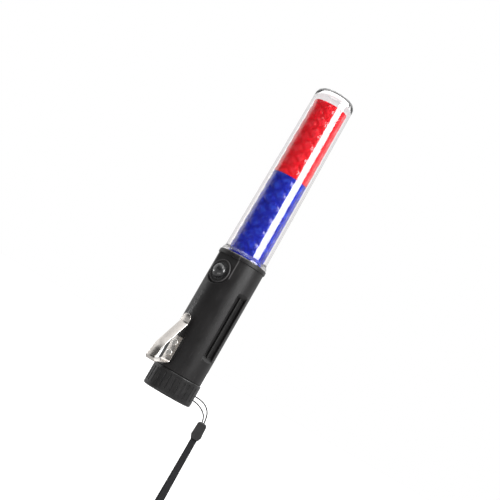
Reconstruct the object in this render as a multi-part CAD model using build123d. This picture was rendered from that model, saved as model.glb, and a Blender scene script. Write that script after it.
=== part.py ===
from build123d import *

import math
import os

# A hand-held traffic baton light, in millimetres. The baton's axis is +Z, with the lamp upwards.
# The push button and the belt clip face -Y, and the finger recesses face +X and -X.
# The origin is on the axis, where the hand holds it. Every height below is measured from the butt,
# the flat end of the cap; placed() moves it into the part's frame.

# Driving dimensions
LENGTH = 265.7
GRIP_HEIGHT = 55.0
BARREL_R = 19.3
WALL = 2.0
SLIDE_GAP = 0.1
RUNNING_GAP = 0.3

# End cap
CAP_R = 20.1
CAP_TOP = 18.0
CAP_FLOOR = 3.0
CAP_SHOULDER = 12.0
CAP_WELL_R = 13.0
CAP_BORE_R = 17.7
CAP_FLUTES = 30
CAP_FLUTE_R = 0.9
FOOT_RING_R = 16.4

# Handle shell
SPIGOT_R = CAP_BORE_R - RUNNING_GAP
SPIGOT_BORE_R = 15.2
SPIGOT_END = 13.2
BARREL_TOP = 114.4
COLLAR_R = 20.0
COLLAR_TOP = 118.0
LEDGE_R = 10.0
LEDGE_THICK = 2.5
RIB_INNER_R = 12.9
RIB_THICK = 1.6
RIB_TOP = 70.0

# Flat for the button
BUTTON_HEIGHT = 101.0
FACET_Y = -16.4
FACET_HALF_WIDTH = 10.9
FACET_RIM_ROUND = 0.4
BEZEL_R = 9.4
BEZEL_HEIGHT = 1.0
BUTTON_BASE_R = 7.4
DOME_R = 5.8
DOME_TOP_Y = -21.4
BUTTON_STEM_R = 1.6
BUTTON_STEM_END_Y = -11.45

# Finger recesses
RECESS_BOTTOM = 36.0
RECESS_TOP = 94.0
RECESS_HALF_WIDTH = 5.85
RECESS_FLOOR_X = 15.9
RECESS_RAMP = 4.5
RECESS_RIM_ROUND = 0.35
RECESS_RIB_WIDTH = 1.7
RECESS_RIB_HEIGHT = 1.7

# Lamp tube and sleeves
TUBE_FOOT_R = 19.2
TUBE_FOOT_TOP = 121.8
TUBE_BOTTOM_R = 17.9
TUBE_TOP_R = 16.3
TUBE_WALL = 1.5
TUBE_SKIRT_R = 17.3
TUBE_SKIRT_END = 115.1
TIP_ROUND = 6.5
TIP_WALL = 2.6
SLEEVE_BOTTOM = 118.8
SLEEVE_JOINT = 190.0
SLEEVE_TOP = 254.6
SLEEVE_BOTTOM_R = 14.6
SLEEVE_TOP_R = 13.75
SLEEVE_WALL = 0.6

# LED board
BOARD_WIDTH = 12.0
BOARD_THICK = 1.6
LED_BOARD_FOOT = 99.0
LED_BOARD_TOP = 250.0
LED_SIDE = 5.0
LED_HEIGHT = 1.6
LED_PITCH = 12.5
LEDS_PER_COLOUR = 5

# Control board and switch
CONTROL_Y = -6.0
CONTROL_WIDTH = 18.0
CONTROL_BOTTOM = 78.0
CONTROL_TOP = 106.0
SWITCH_SIDE = 6.0
SWITCH_DEPTH = 3.5
PLUNGER_R = 1.75
PLUNGER_LENGTH = 1.2
POST_X = 6.8
POST_HEIGHT = 82.0
POST_R = 2.2

# Battery bay
CARRIER_R = 12.6
CARRIER_BOTTOM = 16.0
CARRIER_TOP = 68.0
CARRIER_DISC = 1.8
CELL_R = 5.2
CELL_LENGTH = 43.6
CELL_RING_R = 6.4
STRUT_R = 1.9
STRUT_RING_R = 10.6
BULKHEAD_R = 16.4
BULKHEAD_THICK = 2.0

# Belt clip, a strip bent in the plane x = 0. Distances are out from the axis, along -Y.
STRIP_WIDTH = 9.0
STRIP_THICK = 0.8
CLIP_PAD_Y = -19.7
CLIP_PAD_BOTTOM = 23.5
CLIP_PAD_TOP = 43.5
CLIP_PAD_WIDTH = 10.0
CLIP_SPLIT = 0.12
CLIP_SPLIT_UP = 6.2
PAD_BEND = (20.12, 22.4)
LOWER_BEND = (37.4, 17.0)
LEG_BEND = (34.4, 30.5)
KNEE = (22.9, 54.0)
LIP_END = (23.5, 61.2)
PAD_BEND_R = 2.6
LOWER_BEND_R = 2.0
LEG_BEND_R = 30.0
KNEE_R = 3.4
RIVET_HEIGHTS = (29.0, 37.5)
RIVET_SHANK_R = 1.5
RIVET_HEAD_R = 2.7

# Wires and screws
WIRE_R = 0.6
SCREW_R = 1.1
SCREW_HEAD_R = 2.0
SCREW_HEAD_HEIGHT = 1.4
SCREW_CLEARANCE = 0.05
BASE_SCREW_RING_R = 11.9
BASE_SCREW_BOTTOM = 106.0

# Wrist strap: it hangs in the vertical plane at LANYARD_ANGLE from +X. "Out" is the distance from the axis.
LANYARD_ANGLE = 45.0
LANYARD_PIN_R = 0.8
LANYARD_PIN_OUT = 17.9
LANYARD_PIN_HEIGHT = 8.0
LANYARD_PIN_LENGTH = 11.0
POCKET_WIDTH = 7.0
POCKET_HEIGHT = 8.0
POCKET_FLOOR_OUT = 15.2
CORD_D = 1.0
CRIMP_OUT = 35.15
CRIMP_TOP = -4.6
CRIMP_HEIGHT = 14.0
CRIMP_TOP_WIDTH = 7.0
CRIMP_WIDTH = 8.2
CRIMP_THICK = 5.4
CRIMP_BITE = 1.0
WEB_WIDTH = 5.0
WEB_THICK = 1.2

# Route of the lanyard cord, as (out, height): crimp, round the pin, back to the crimp.
LANYARD_ROUTE = [
    (35.9, CRIMP_TOP - CRIMP_BITE),
    (35.3, 1.0),
    (32.4, 6.0),
    (27.6, 8.9),
    (21.9, 9.8),
    (16.4, 9.5),
    (16.4, 6.5),
    (21.5, 6.2),
    (26.5, 5.0),
    (31.0, 2.2),
    (33.6, -1.2),
    (34.4, CRIMP_TOP - CRIMP_BITE),
]

# Route of the webbing loop, as (sideways, height), from the crimp round to the crimp.
WEB_ROUTE = [
    (0.95, CRIMP_TOP - CRIMP_HEIGHT + CRIMP_BITE),
    (1.3, -33.0),
    (4.4, -55.0),
    (9.2, -80.0),
    (13.4, -103.0),
    (14.6, -120.0),
    (8.6, -134.0),
    (-5.2, -136.5),
    (-14.2, -125.5),
    (-14.8, -108.0),
    (-10.8, -84.0),
    (-5.3, -58.0),
    (-1.5, -34.5),
    (-0.95, CRIMP_TOP - CRIMP_HEIGHT + CRIMP_BITE),
]


def placed(shape):
    """The shape moved from heights above the butt into the part's frame."""
    return Pos(0, 0, -GRIP_HEIGHT) * shape


def save(name, *solids):
    """Writes one node, which may be a group of separate solids."""
    pieces = [solid for shape in solids for solid in placed(shape).solids()]
    node = pieces[0] if len(pieces) == 1 else Compound(children=pieces)
    node.label = name
    export_step(node, os.path.join("parts", name + ".step"))


def turned(outline, rounds=()):
    """A solid turned about the axis from (radius, height) points; rounds holds (corner, radius) pairs."""
    face = make_face(Polyline(*outline, close=True))
    for (out, height), radius in rounds:
        corner = face.vertices().sort_by_distance((out, height, 0))[0]
        face = fillet(corner, radius)
    return revolve(Plane.XZ * face, Axis.Z)


def rod(radius, start, end):
    """A round bar between two points."""
    line = Line(start, end)
    return extrude(Plane(origin=start, z_dir=line % 0) * Circle(radius), line.length)


def block(x, y, z):
    """A box from its (low, high) pairs."""
    size = [high - low for low, high in (x, y, z)]
    middle = [(high + low) / 2 for low, high in (x, y, z)]
    return Pos(*middle) * Box(*size)


def ring(outer, inner, bottom, top):
    """A plain ring or washer."""
    return turned([(inner, bottom), (outer, bottom), (outer, top), (inner, top)])


def around(shape, count, first=0.0):
    """Copies of a shape, evenly spaced about the axis."""
    return [Rot(0, 0, first + 360.0 / count * turn) * shape for turn in range(count)]


def fused(first, others):
    """One solid from a solid and a list of solids that touch it."""
    for other in others:
        first = first + other
    return first


def edges_within(body, half_width, y, z):
    """The edges whose middles lie within half_width of x = 0 and between the (low, high) pairs of y and z."""
    x = (-half_width, half_width)
    found = body.edges().filter_by_position(Axis.X, *x)
    return found.filter_by_position(Axis.Y, *y).filter_by_position(Axis.Z, *z)


def arc_radii(points):
    """The largest arcs that the straight runs of a route leave room for, one for each corner."""
    radii = []
    for before, corner, after in zip(points, points[1:], points[2:]):
        coming = Vector(*corner) - Vector(*before)
        going = Vector(*after) - Vector(*corner)
        turn = coming.get_angle(going)
        shorter = min(coming.length, going.length)
        radii.append(0.45 * shorter / math.tan(math.radians(turn / 2)))
    return radii


def tube_along(route, radius):
    """A round wire along straight runs that are joined by tangent arcs."""
    path = FilletPolyline(*route, radius=arc_radii(route))
    return sweep(Plane(origin=path @ 0, z_dir=path % 0) * Circle(radius), path)


def screw(length):
    """A pan-head screw that points down, with a cross in its head, whose underside is at the origin."""
    head = turned(
        [(0, 0), (SCREW_HEAD_R, 0), (SCREW_HEAD_R, SCREW_HEAD_HEIGHT), (0, SCREW_HEAD_HEIGHT)],
        [((SCREW_HEAD_R, SCREW_HEAD_HEIGHT), 0.6)],
    )
    shank = Pos(0, 0, -length / 2) * Cylinder(SCREW_R, length)
    slot = Pos(0, 0, SCREW_HEAD_HEIGHT) * Box(2.2, 0.5, 1.2)
    return head + shank - slot - Rot(0, 0, 90) * slot


def coil_spring(bottom_r, top_r, bottom, top, turns, wire_r):
    """An open coil spring about the Z axis, which may taper."""
    rise = top - bottom - 2 * wire_r
    lean = math.degrees(math.atan2(top_r - bottom_r, rise))
    path = Pos(0, 0, bottom + wire_r) * Helix(rise / turns, rise, bottom_r, cone_angle=lean)
    return sweep(Plane(origin=path @ 0, z_dir=path % 0) * Circle(wire_r), path, is_frenet=True)


# Lamp


def tube_radius(height):
    """Outer radius of the lamp tube, which tapers towards its tip."""
    share = (height - TUBE_FOOT_TOP) / (LENGTH - TUBE_FOOT_TOP)
    return TUBE_BOTTOM_R + share * (TUBE_TOP_R - TUBE_BOTTOM_R)


def sleeve_radius(height):
    """Outer radius of the coloured sleeves, which taper with the tube."""
    share = (height - SLEEVE_BOTTOM) / (SLEEVE_TOP - SLEEVE_BOTTOM)
    return SLEEVE_BOTTOM_R + share * (SLEEVE_TOP_R - SLEEVE_BOTTOM_R)


def lamp_tube():
    """The clear tube: a skirt in the collar, a flared foot, a tapered wall and a closed, rounded tip."""
    inside_top = LENGTH - TIP_WALL
    outer = turned(
        [
            (0, TUBE_SKIRT_END),
            (TUBE_SKIRT_R, TUBE_SKIRT_END),
            (TUBE_SKIRT_R, COLLAR_TOP + SLIDE_GAP),
            (TUBE_FOOT_R, COLLAR_TOP + SLIDE_GAP),
            (TUBE_FOOT_R, COLLAR_TOP + 1.5),
            (TUBE_BOTTOM_R, TUBE_FOOT_TOP),
            (TUBE_TOP_R, LENGTH),
            (0, LENGTH),
        ],
        [
            ((TUBE_TOP_R, LENGTH), TIP_ROUND),
            ((TUBE_FOOT_R, COLLAR_TOP + 1.5), 0.7),
            ((TUBE_BOTTOM_R, TUBE_FOOT_TOP), 3.0),
        ],
    )
    inner = turned(
        [
            (0, TUBE_SKIRT_END - 1),
            (TUBE_BOTTOM_R - TUBE_WALL, TUBE_SKIRT_END - 1),
            (TUBE_BOTTOM_R - TUBE_WALL, TUBE_FOOT_TOP),
            (tube_radius(inside_top) - TUBE_WALL, inside_top),
            (0, inside_top),
        ],
        [((tube_radius(inside_top) - TUBE_WALL, inside_top), TIP_ROUND - TIP_WALL / 2)],
    )
    return outer - inner


def sleeve(bottom, top):
    """One coloured sleeve, a thin tapered tube."""
    low, high = sleeve_radius(bottom), sleeve_radius(top)
    return turned(
        [(low - SLEEVE_WALL, bottom), (low, bottom), (high, top), (high - SLEEVE_WALL, top)]
    )


def sleeve_cap():
    """The disc that centres the sleeves and the LED board at the top."""
    plug_r = sleeve_radius(SLEEVE_TOP) - SLEEVE_WALL - SLIDE_GAP
    low, high = LED_BOARD_TOP - 3, SLEEVE_TOP - 1
    disc = turned([(0, low), (plug_r, low), (plug_r, high), (0, high)], [((plug_r, high), 0.8)])
    return disc - led_board_blank(SLIDE_GAP)


def led_board_blank(grow=0.0):
    """The LED board, or the slot for it."""
    half_width, half_thick = BOARD_WIDTH / 2 + grow, BOARD_THICK / 2 + grow
    return block(
        (-half_width, half_width), (-half_thick, half_thick), (LED_BOARD_FOOT - grow, LED_BOARD_TOP + grow)
    )


def leds(bottom):
    """A row of square LEDs on each face of the board, from a height upwards."""
    near_y = BOARD_THICK / 2 + LED_HEIGHT / 2
    package = Box(LED_SIDE, LED_HEIGHT, LED_SIDE)
    window = Pos(0, -LED_HEIGHT / 2, 0) * Rot(90, 0, 0) * Cylinder(LED_SIDE * 0.4, 0.5)
    front = package - window
    rows = []
    for number in range(LEDS_PER_COLOUR):
        height = bottom + number * LED_PITCH
        rows.append(Pos(0, -near_y, height) * front)
        rows.append(Pos(0, near_y, height) * Rot(0, 0, 180) * front)
    return rows


def led_resistors():
    """Small resistors beside the LEDs, one for each pair."""
    chip = Box(1.6, 0.6, 3.2)
    heights = [SLEEVE_BOTTOM + 9.5 + number * LED_PITCH for number in range(2 * LEDS_PER_COLOUR)]
    return [Pos(-4.4, -BOARD_THICK / 2 - 0.3, height) * chip for height in heights]


def lamp_base():
    """The holder that stands in the collar: it centres the sleeves and grips the foot of the LED board."""
    body = turned(
        [
            (0, BARREL_TOP - 6.5),
            (8.0, BARREL_TOP - 6.5),
            (8.0, BARREL_TOP + SLIDE_GAP),
            (15.6, BARREL_TOP + SLIDE_GAP),
            (15.6, SLEEVE_BOTTOM - 0.2),
            (13.8, SLEEVE_BOTTOM - 0.2),
            (13.8, SLEEVE_BOTTOM + 3.5),
            (10.0, SLEEVE_BOTTOM + 3.5),
            (10.0, BARREL_TOP + 2.6),
            (0, BARREL_TOP + 2.6),
        ]
    )
    hole = Pos(BASE_SCREW_RING_R, 0, BARREL_TOP + 4) * Cylinder(SCREW_R + SCREW_CLEARANCE, 20)
    head_room = Pos(BASE_SCREW_RING_R, 0, BARREL_TOP + 8) * Cylinder(SCREW_HEAD_R + SLIDE_GAP, 9)
    for turn in (0, 90, 180):
        body = body - Rot(0, 0, turn) * hole - Rot(0, 0, turn) * head_room
    return body - led_board_blank(SLIDE_GAP)


def base_screws():
    """Three screws down through the lamp base into the handle's ledge."""
    one = Pos(BASE_SCREW_RING_R, 0, BARREL_TOP + 3.5) * screw(8.0)
    return [Rot(0, 0, turn) * one for turn in (0, 90, 180)]


def lamp_gasket():
    """The soft ring between the skirt of the lamp tube and the handle's ledge."""
    return ring(TUBE_SKIRT_R, TUBE_BOTTOM_R - TUBE_WALL, BARREL_TOP + 0.02, TUBE_SKIRT_END - 0.02)


def led_wires():
    """Three insulated wires from the control board up to the foot of the LED board."""
    board_back = CONTROL_Y + BOARD_THICK + WIRE_R + 0.05
    led_face = -BOARD_THICK / 2 - WIRE_R - 0.05
    wires = []
    for side in (-2.4, 0.0, 2.4):
        route = [(side, board_back, 87.0), (side, board_back + 0.3, 93.0), (side, led_face - 0.35, 97.6)]
        wires.append(tube_along([*route, (side, led_face, 103.0)], WIRE_R))
    return wires


# Handle


def rivet_holes(depth):
    """The cutters for the two rivet holes, from outside the clip to a depth inside the barrel's surface."""
    radius = RIVET_SHANK_R + SCREW_CLEARANCE
    return [rod(radius, (0, -BARREL_R - 3, up), (0, -BARREL_R + depth, up)) for up in RIVET_HEIGHTS]


def button_facet(grow=0.0):
    """The cutter for the flat that the button sits in: square to the collar, round at its lower end."""
    half_width = FACET_HALF_WIDTH + grow
    top = BARREL_TOP + grow
    outline = Pos(0, BUTTON_HEIGHT) * Circle(half_width)
    outline += Pos(0, (BUTTON_HEIGHT + top) / 2) * Rectangle(2 * half_width, top - BUTTON_HEIGHT)
    depth = BARREL_R + FACET_Y + 6.0
    return extrude(Plane((0, FACET_Y + grow, 0), x_dir=(1, 0, 0), z_dir=(0, -1, 0)) * outline, depth)


def finger_recess(grow=0.0):
    """The cutter for the recess on the +X side: a trough with a ramp at each end."""
    floor = RECESS_FLOOR_X - grow
    slope = RECESS_RAMP / (BARREL_R - RECESS_FLOOR_X)
    outside = BARREL_R + 2.0
    reach = slope * (outside - BARREL_R)
    low = RECESS_BOTTOM + RECESS_RAMP - grow
    high = RECESS_TOP - RECESS_RAMP + grow
    outline = Polyline(
        (floor, low),
        (outside, RECESS_BOTTOM - reach - grow),
        (outside, RECESS_TOP + reach + grow),
        (floor, high),
        close=True,
    )
    half_width = RECESS_HALF_WIDTH + grow
    side = Plane((0, half_width, 0), x_dir=(1, 0, 0), z_dir=(0, -1, 0))
    return extrude(side * make_face(outline), 2 * half_width)


def recess_rib():
    """The raised rib along the middle of a finger recess."""
    rib = block(
        (RECESS_FLOOR_X - 0.5, RECESS_FLOOR_X + RECESS_RIB_HEIGHT),
        (-RECESS_RIB_WIDTH / 2, RECESS_RIB_WIDTH / 2),
        (RECESS_BOTTOM + RECESS_RAMP - 1, RECESS_TOP - RECESS_RAMP + 1),
    )
    return fillet(rib.edges().filter_by(Axis.Z).group_by(Axis.X)[-1], 0.6)


def handle_outside():
    """The outer form: spigot, barrel and collar, with the flat, the recesses and the clip's pad."""
    body = turned(
        [
            (0, SPIGOT_END),
            (SPIGOT_R, SPIGOT_END),
            (SPIGOT_R, CAP_TOP + SLIDE_GAP),
            (BARREL_R, CAP_TOP + SLIDE_GAP),
            (BARREL_R, BARREL_TOP),
            (COLLAR_R, BARREL_TOP),
            (COLLAR_R, COLLAR_TOP),
            (0, COLLAR_TOP),
        ],
        [
            ((COLLAR_R, COLLAR_TOP), 0.9),
            ((COLLAR_R, BARREL_TOP), 0.5),
            ((BARREL_R, CAP_TOP + SLIDE_GAP), 0.5),
            ((SPIGOT_R, SPIGOT_END), 0.5),
        ],
    )
    half_pad = CLIP_PAD_WIDTH / 2
    pad = block((-half_pad, half_pad), (CLIP_PAD_Y, -BARREL_R + 2), (CLIP_PAD_BOTTOM, CLIP_PAD_TOP))
    pad = fillet(pad.edges().filter_by(Axis.Y), 1.5)
    body = body - button_facet()
    rim = edges_within(body, FACET_HALF_WIDTH, (-BARREL_R - 0.1, FACET_Y + 0.1), (85, BARREL_TOP - 0.2))
    body = fillet(rim.filter_by(GeomType.CIRCLE, reverse=True), FACET_RIM_ROUND)
    for turn in (0, 180):
        body = body - Rot(0, 0, turn) * finger_recess()
    around_recesses = edges_within(body, BARREL_R + 0.1, (-6.5, 6.5), (RECESS_BOTTOM - 1, RECESS_TOP + 1))
    rims = [edge for edge in around_recesses if abs(edge.center().X) > BARREL_R - 1.1]
    body = fillet(rims, RECESS_RIM_ROUND) + pad
    for turn in (0, 180):
        body = body + Rot(0, 0, turn) * recess_rib()
    return body


def handle_inside():
    """The hollow: battery bay, electronics room and collar, drawn in behind the flat and the recesses."""
    bay_r = BARREL_R - WALL
    hollow = turned(
        [
            (0, SPIGOT_END - 1),
            (SPIGOT_BORE_R, SPIGOT_END - 1),
            (SPIGOT_BORE_R, CAP_TOP + WALL),
            (bay_r, CAP_TOP + WALL + 2),
            (bay_r, BARREL_TOP - LEDGE_THICK),
            (0, BARREL_TOP - LEDGE_THICK),
        ]
    )
    hollow = hollow - button_facet(WALL)
    for turn in (0, 180):
        hollow = hollow - Rot(0, 0, turn) * finger_recess(WALL)
    ledge = Pos(0, 0, BARREL_TOP - LEDGE_THICK / 2) * Cylinder(LEDGE_R, LEDGE_THICK + 2)
    counterbore = turned(
        [
            (0, BARREL_TOP),
            (TUBE_SKIRT_R + SLIDE_GAP, BARREL_TOP),
            (TUBE_SKIRT_R + SLIDE_GAP, COLLAR_TOP + 1),
            (0, COLLAR_TOP + 1),
        ]
    )
    return hollow + ledge + counterbore


def handle_shell():
    """The black handle in one moulding, with its inner ribs, screw bosses and posts."""
    body = handle_outside() - handle_inside()
    guide = block((RIB_INNER_R, BARREL_R - 1), (-RIB_THICK / 2, RIB_THICK / 2), (22.5, RIB_TOP))
    body = fused(body, around(guide, 4, first=45))
    boss_top = BARREL_TOP - 1
    boss_middle = (BASE_SCREW_BOTTOM + boss_top) / 2
    boss = Pos(BASE_SCREW_RING_R, 0, boss_middle) * Cylinder(2.4, boss_top - BASE_SCREW_BOTTOM)
    bore_r = SCREW_R + SCREW_CLEARANCE
    bore_length = 2 * (BARREL_TOP - BASE_SCREW_BOTTOM) - 2
    bore = Pos(BASE_SCREW_RING_R, 0, BARREL_TOP) * Cylinder(bore_r, bore_length)
    for turn in (0, 90, 180):
        body = body + Rot(0, 0, turn) * boss
        body = body - Rot(0, 0, turn) * bore
    wall_y = FACET_Y + WALL
    for side in (-POST_X, POST_X):
        body = body + rod(POST_R, (side, wall_y - 1, POST_HEIGHT), (side, CONTROL_Y, POST_HEIGHT))
        body = body - rod(bore_r, (side, wall_y + 1.2, POST_HEIGHT), (side, CONTROL_Y + 1, POST_HEIGHT))
    button_hole = rod(BUTTON_BASE_R + 0.25, (0, FACET_Y - 3, BUTTON_HEIGHT), (0, wall_y + 1, BUTTON_HEIGHT))
    body = body - button_hole
    return body - rivet_holes(4.0)


# Button and switch


def button_bezel():
    """The raised ring round the button, on the flat."""
    face_y = FACET_Y - 0.02
    outer = rod(BEZEL_R, (0, face_y, BUTTON_HEIGHT), (0, face_y - BEZEL_HEIGHT, BUTTON_HEIGHT))
    outer = fillet(outer.edges().group_by(Axis.Y)[0], 0.5)
    return outer - rod(BUTTON_BASE_R + 0.25, (0, face_y + 1, BUTTON_HEIGHT), (0, face_y - 3, BUTTON_HEIGHT))


def push_button():
    """The rubber button: flange behind the wall, round base, dome and a stem that meets the switch."""
    flange_front = FACET_Y + WALL + SLIDE_GAP
    base_front = FACET_Y - BEZEL_HEIGHT + 0.15
    dome_rise = base_front - DOME_TOP_Y
    outline = [
        (0, -BUTTON_STEM_END_Y),
        (BUTTON_STEM_R, -BUTTON_STEM_END_Y),
        (BUTTON_STEM_R, -flange_front - 0.8),
        (BUTTON_BASE_R + 0.9, -flange_front - 0.8),
        (BUTTON_BASE_R + 0.9, -flange_front),
        (BUTTON_BASE_R, -flange_front),
        (BUTTON_BASE_R, -base_front),
        (DOME_R, -base_front),
    ]
    outline = [(out, abs(depth)) for out, depth in outline]
    side = Polyline(*outline)
    crown = Bezier(
        (DOME_R, -base_front),
        (DOME_R, -base_front + dome_rise * 0.75),
        (DOME_R * 0.62, -DOME_TOP_Y),
        (0, -DOME_TOP_Y),
    )
    middle = Line((0, -DOME_TOP_Y), (0, -BUTTON_STEM_END_Y))
    profile = make_face(side + crown + middle)
    solid = revolve(Plane.XZ * profile, Axis.Z)
    return Pos(0, 0, BUTTON_HEIGHT) * Rot(90, 0, 0) * solid


def switch_case():
    """The body of the tactile switch on the control board, with a round window for its plunger."""
    half = SWITCH_SIDE / 2
    case = block(
        (-half, half), (CONTROL_Y - SWITCH_DEPTH, CONTROL_Y), (BUTTON_HEIGHT - half, BUTTON_HEIGHT + half)
    )
    window_front = CONTROL_Y - SWITCH_DEPTH - 1
    window_back = CONTROL_Y - 1.5
    return case - rod(PLUNGER_R + 0.08, (0, window_front, BUTTON_HEIGHT), (0, window_back, BUTTON_HEIGHT))


def switch_plunger():
    """The plunger of the tactile switch."""
    front = CONTROL_Y - SWITCH_DEPTH - PLUNGER_LENGTH
    return rod(PLUNGER_R, (0, CONTROL_Y - SWITCH_DEPTH + 1.2, BUTTON_HEIGHT), (0, front, BUTTON_HEIGHT))


def control_board():
    """The upright circuit board behind the button."""
    half = CONTROL_WIDTH / 2
    board = block((-half, half), (CONTROL_Y, CONTROL_Y + BOARD_THICK), (CONTROL_BOTTOM, CONTROL_TOP))
    for side in (-POST_X, POST_X):
        hole_end = CONTROL_Y + BOARD_THICK + 1
        hole = rod(SCREW_R + 0.1, (side, CONTROL_Y - 1, POST_HEIGHT), (side, hole_end, POST_HEIGHT))
        board = board - hole
    return board


def board_screws():
    """Two screws that hold the control board on its posts."""
    one = Rot(-90, 0, 0) * screw(7.5)
    back = CONTROL_Y + BOARD_THICK + 0.02
    return [Pos(side, back, POST_HEIGHT) * one for side in (-POST_X, POST_X)]


def control_chip():
    """The controller, an eight-legged chip on the back of the control board."""
    back = CONTROL_Y + BOARD_THICK
    body = block((-2.0, 2.0), (back + 0.2, back + 1.7), (99.0, 104.0))
    for number in range(4):
        height = 99.6 + number * 1.27
        body = body + block((-3.1, 3.1), (back + 0.02, back + 0.6), (height, height + 0.45))
    return body


# Battery bay


def battery_carrier():
    """The cage for three cells: two discs, three outer struts and a centre column."""
    low = Pos(0, 0, CARRIER_BOTTOM + CARRIER_DISC / 2) * Cylinder(CARRIER_R, CARRIER_DISC)
    high = Pos(0, 0, CARRIER_TOP - CARRIER_DISC / 2) * Cylinder(CARRIER_R, CARRIER_DISC)
    middle = (CARRIER_BOTTOM + CARRIER_TOP) / 2
    span = CARRIER_TOP - CARRIER_BOTTOM - 1
    column = Pos(0, 0, middle) * Cylinder(1.0, span)
    strut = Pos(STRUT_RING_R, 0, middle) * Cylinder(STRUT_R, span)
    contact_dome = Pos(0, 0, CARRIER_TOP + 0.5) * Cylinder(3.2, 1.4)
    return fused(low, [column, *around(strut, 3, first=60), high, contact_dome])


def batteries():
    """Three AAA cells, each a can with a terminal nub; every second one is upside down."""
    bottom = CARRIER_BOTTOM + CARRIER_DISC + 3.2
    can = turned(
        [
            (0, 0),
            (CELL_R, 0),
            (CELL_R, CELL_LENGTH - 1.0),
            (1.9, CELL_LENGTH - 1.0),
            (1.9, CELL_LENGTH),
            (0, CELL_LENGTH),
        ],
        [((CELL_R, 0), 0.5), ((CELL_R, CELL_LENGTH - 1.0), 0.8)],
    )
    return around(Pos(CELL_RING_R, 0, bottom) * can, 3)


def cell_springs():
    """The coil springs under the cells."""
    low = CARRIER_BOTTOM + CARRIER_DISC + 0.35
    one = coil_spring(3.4, 2.6, low, low + 2.8, 2, 0.3)
    return around(Pos(CELL_RING_R, 0, 0) * one, 3)


def cell_plates():
    """The contact plates at both ends of each cell."""
    low = CARRIER_BOTTOM + CARRIER_DISC
    high = CARRIER_TOP - CARRIER_DISC
    lower = Pos(CELL_RING_R, 0, low + 0.17) * Cylinder(4.2, 0.3)
    upper = Pos(CELL_RING_R, 0, high - 0.17) * Cylinder(4.2, 0.3)
    return around(lower, 3) + around(upper, 3)


def bulkhead():
    """The wall above the battery bay, which stands on the guide ribs."""
    disc = Pos(0, 0, RIB_TOP + BULKHEAD_THICK / 2) * Cylinder(BULKHEAD_R, BULKHEAD_THICK)
    for turn in (0, 180):
        disc = disc - Rot(0, 0, turn) * finger_recess(WALL + SLIDE_GAP)
    notch = block((-4.0, 4.0), (12.6, 17.5), (RIB_TOP - 1, RIB_TOP + BULKHEAD_THICK + 1))
    wire_hole = Pos(-7.0, -4.0, RIB_TOP) * Cylinder(1.2, 10)
    return disc - notch - wire_hole


def front_contact():
    """The contact plate under the bulkhead, which meets the carrier's dome."""
    return Pos(0, 0, RIB_TOP - 0.25) * Cylinder(8.5, 0.4)


def return_strip():
    """The brass strip inside the handle, with a foot at the cap and a tab at the control board."""
    half, thick = 2.0, 0.4
    low = CAP_SHOULDER + 0.5
    foot = block((-half, half), (13.8, SPIGOT_BORE_R - 0.2), (low, low + thick))
    leg = block((-half, half), (SPIGOT_BORE_R - 0.2 - thick, SPIGOT_BORE_R - 0.2), (low, CONTROL_BOTTOM))
    tab = block((-half, half), (11.0, SPIGOT_BORE_R - 0.2), (CONTROL_BOTTOM - thick, CONTROL_BOTTOM))
    return foot + leg + tab


def power_wires():
    """Two wires to the back of the control board, from the front contact and from the return strip."""
    back = CONTROL_Y + BOARD_THICK + WIRE_R + 0.05
    feed = [
        (-7.0, -4.0, RIB_TOP + 0.1),
        (-7.0, -3.8, 76.0),
        (-6.6, -1.9, 81.6),
        (-5.5, -3.0, 86.6),
        (-5.4, back, 91.5),
    ]
    earth = [
        (0.0, 12.0, CONTROL_BOTTOM + 0.3),
        (0.5, 11.0, 83.2),
        (2.2, 5.2, 86.6),
        (4.6, -0.8, 88.2),
        (5.2, back, 93.5),
    ]
    return [tube_along(feed, WIRE_R), tube_along(earth, WIRE_R)]


# End cap


def end_cap():
    """The screwed cap: fluted side, foot ring, a well for the spring and a pocket for the lanyard."""
    body = turned(
        [
            (0, 0.7),
            (FOOT_RING_R, 0.7),
            (FOOT_RING_R, 0),
            (CAP_R, 0),
            (CAP_R, CAP_TOP),
            (CAP_BORE_R, CAP_TOP),
            (CAP_BORE_R, CAP_SHOULDER),
            (CAP_WELL_R, CAP_SHOULDER),
            (CAP_WELL_R, CAP_FLOOR),
            (0, CAP_FLOOR),
        ],
        [((CAP_R, 0), 1.8), ((CAP_R, CAP_TOP), 0.8), ((FOOT_RING_R, 0.7), 0.3)],
    )
    flute = Pos(CAP_R + 0.45, 0, (CAP_TOP + 1.5) / 2) * Cylinder(CAP_FLUTE_R, CAP_TOP - 6.5)
    step = 360.0 / CAP_FLUTES
    for number in range(CAP_FLUTES):
        if abs(number * step - LANYARD_ANGLE) > 1.9 * step:
            body = body - Rot(0, 0, number * step) * flute
    pocket = block(
        (POCKET_FLOOR_OUT, CAP_R + 1),
        (-POCKET_WIDTH / 2, POCKET_WIDTH / 2),
        (LANYARD_PIN_HEIGHT - POCKET_HEIGHT / 2, LANYARD_PIN_HEIGHT + POCKET_HEIGHT / 2 - 1),
    )
    pocket = fillet(pocket.edges().filter_by(Axis.X), 1.2)
    body = body - Rot(0, 0, LANYARD_ANGLE) * pocket
    return body - lanyard_pin(SCREW_CLEARANCE)


def lanyard_pin(grow=0.0):
    """The steel pin across the pocket, which the lanyard goes round."""
    half = LANYARD_PIN_LENGTH / 2 + grow
    ends = [(LANYARD_PIN_OUT, side, LANYARD_PIN_HEIGHT) for side in (-half, half)]
    return Rot(0, 0, LANYARD_ANGLE) * rod(LANYARD_PIN_R + grow, *ends)


def cap_gasket():
    """The flat gasket between the cap's shoulder and the end of the handle. It slides with the cap."""
    return ring(SPIGOT_R - 0.1, SPIGOT_BORE_R + 0.2, CAP_SHOULDER + 0.03, SPIGOT_END - 0.05)


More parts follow.
